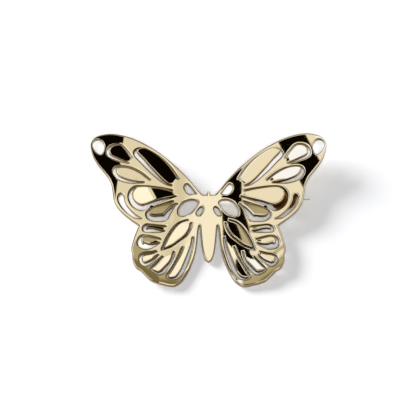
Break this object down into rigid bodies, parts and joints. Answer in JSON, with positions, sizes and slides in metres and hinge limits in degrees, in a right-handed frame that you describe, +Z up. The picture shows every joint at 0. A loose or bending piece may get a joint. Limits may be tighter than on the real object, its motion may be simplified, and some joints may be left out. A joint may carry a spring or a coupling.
{
  "type": "brooch",
  "caption": "Pierced and bent gold butterfly brooch with raised petals, a hinged pin and a turning safety catch on its back, to wear on cloth.",
  "frame": {"origin": "centre of the brooch's box on the table it lies on, back down", "axes": "+X along the wing span toward the catch, +Y from the tail to the head, +Z up from the table"},
  "size_m": [0.058, 0.0382, 0.0105],
  "materials": {
    "polished_gold": "mirror-polished gold plate",
    "gold_findings": "satin gold plate",
    "gold_wire": "drawn and polished gold-plated wire"
  },
  "bodies": {
    "brooch": {"butterfly_sheet": "polished_gold", "joint_base": "gold_findings", "joint_ears": "gold_findings", "hinge_rivet": "gold_wire", "catch_disc": "gold_findings", "catch_ring": "gold_findings"},
    "pin": {"pin_stem": "gold_wire"},
    "sleeve": {"catch_sleeve": "gold_wire", "sleeve_lever": "gold_wire"}
  },
  "joints": [
    {"name": "pin_hinge", "type": "hinge", "parent": "brooch", "child": "pin", "pos_m": [-0.0083, 0.00475, 0.00149], "axis": [0, 0.9889, 0.1487], "range_deg": [0, 110]},
    {"name": "sleeve_turn", "type": "hinge", "parent": "brooch", "child": "sleeve", "pos_m": [0.0184, 0.00475, 0.00149], "axis": [1, 0, 0], "range_deg": [0, 100]}
  ]
}
